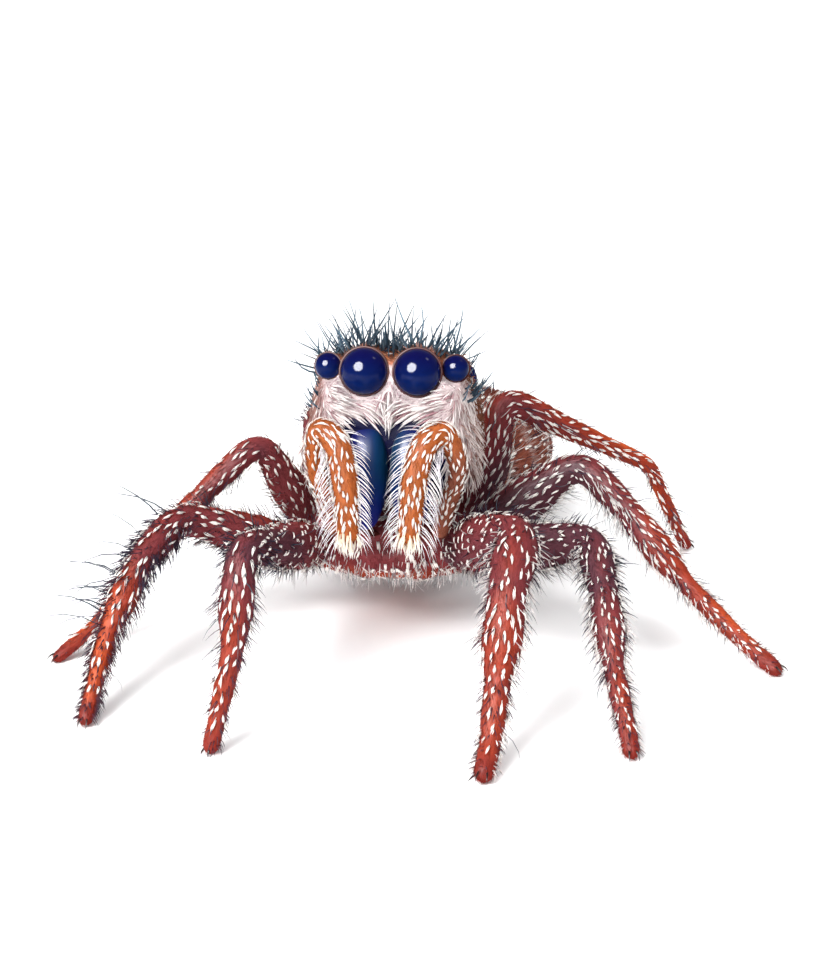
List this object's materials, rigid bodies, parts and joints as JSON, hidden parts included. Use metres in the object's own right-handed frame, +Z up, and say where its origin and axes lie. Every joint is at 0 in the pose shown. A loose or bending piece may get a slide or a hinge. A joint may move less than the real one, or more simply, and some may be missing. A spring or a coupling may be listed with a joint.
{
  "type": "jumping spider",
  "caption": "Still life-size jumping spider standing with her furry head raised, palps hanging before the jaws and legs spread on the floor.",
  "frame": {"origin": "on the floor, under the middle of the animal's bounding box in X and Y", "axes": "+Z up from the floor, -Y the way she faces, +X her left side; the longest extent, front feet to spinnerets, lies along Y and the shortest is the height"},
  "size_m": [0.0206, 0.024, 0.0086],
  "materials": {
    "leg": "brick-red skin under short hairs with white dashes",
    "femur": "dark maroon skin under short hairs with white dashes",
    "foot": "dark red, close-haired",
    "head": "white and pinkish brown fur",
    "under": "red-brown skin with pale hairs",
    "palp": "orange skin with white dashes and long white fringes",
    "chelicera": "glossy dark blue with a teal sheen",
    "eye": "polished blue-black lens",
    "abdomen": "orange-red fur with pale spots"
  },
  "bodies": {
    "root": {"eye_anterior_median_left": "eye", "eye_anterior_median_right": "eye", "eye_anterior_lateral_left": "eye", "eye_anterior_lateral_right": "eye", "eye_posterior_median_left": "eye", "eye_posterior_median_right": "eye", "eye_posterior_lateral_left": "eye", "eye_posterior_lateral_right": "eye", "chelicera_left": "chelicera", "chelicera_right": "chelicera", "palp_femur_left": "palp", "palp_tip_left": "palp", "palp_femur_right": "palp", "palp_tip_right": "palp", "leg_1_left_femur": "femur", "leg_1_left_patella": "leg", "leg_1_left_tibia": "leg", "leg_1_left_metatarsus": "leg", "leg_1_left_tarsus": "foot", "leg_2_left_femur": "femur", "leg_2_left_patella": "leg", "leg_2_left_tibia": "leg", "leg_2_left_metatarsus": "leg", "leg_2_left_tarsus": "foot", "leg_3_left_femur": "femur", "leg_3_left_patella": "leg", "leg_3_left_tibia": "leg", "leg_3_left_metatarsus": "leg", "leg_3_left_tarsus": "foot", "leg_4_left_femur": "femur", "leg_4_left_patella": "leg", "leg_4_left_tibia": "leg", "leg_4_left_metatarsus": "leg", "leg_4_left_tarsus": "foot", "leg_1_right_femur": "femur", "leg_1_right_patella": "leg", "leg_1_right_tibia": "leg", "leg_1_right_metatarsus": "leg", "leg_1_right_tarsus": "foot", "leg_2_right_femur": "femur", "leg_2_right_patella": "leg", "leg_2_right_tibia": "leg", "leg_2_right_metatarsus": "leg", "leg_2_right_tarsus": "foot", "leg_3_right_femur": "femur", "leg_3_right_patella": "leg", "leg_3_right_tibia": "leg", "leg_3_right_metatarsus": "leg", "leg_3_right_tarsus": "foot", "leg_4_right_femur": "femur", "leg_4_right_patella": "leg", "leg_4_right_tibia": "leg", "leg_4_right_metatarsus": "leg", "leg_4_right_tarsus": "foot", "pedicel": "under", "sternum_and_coxae": "under", "carapace": "head", "abdomen": "abdomen", "spinnerets": "under"}
  },
  "joints": []
}
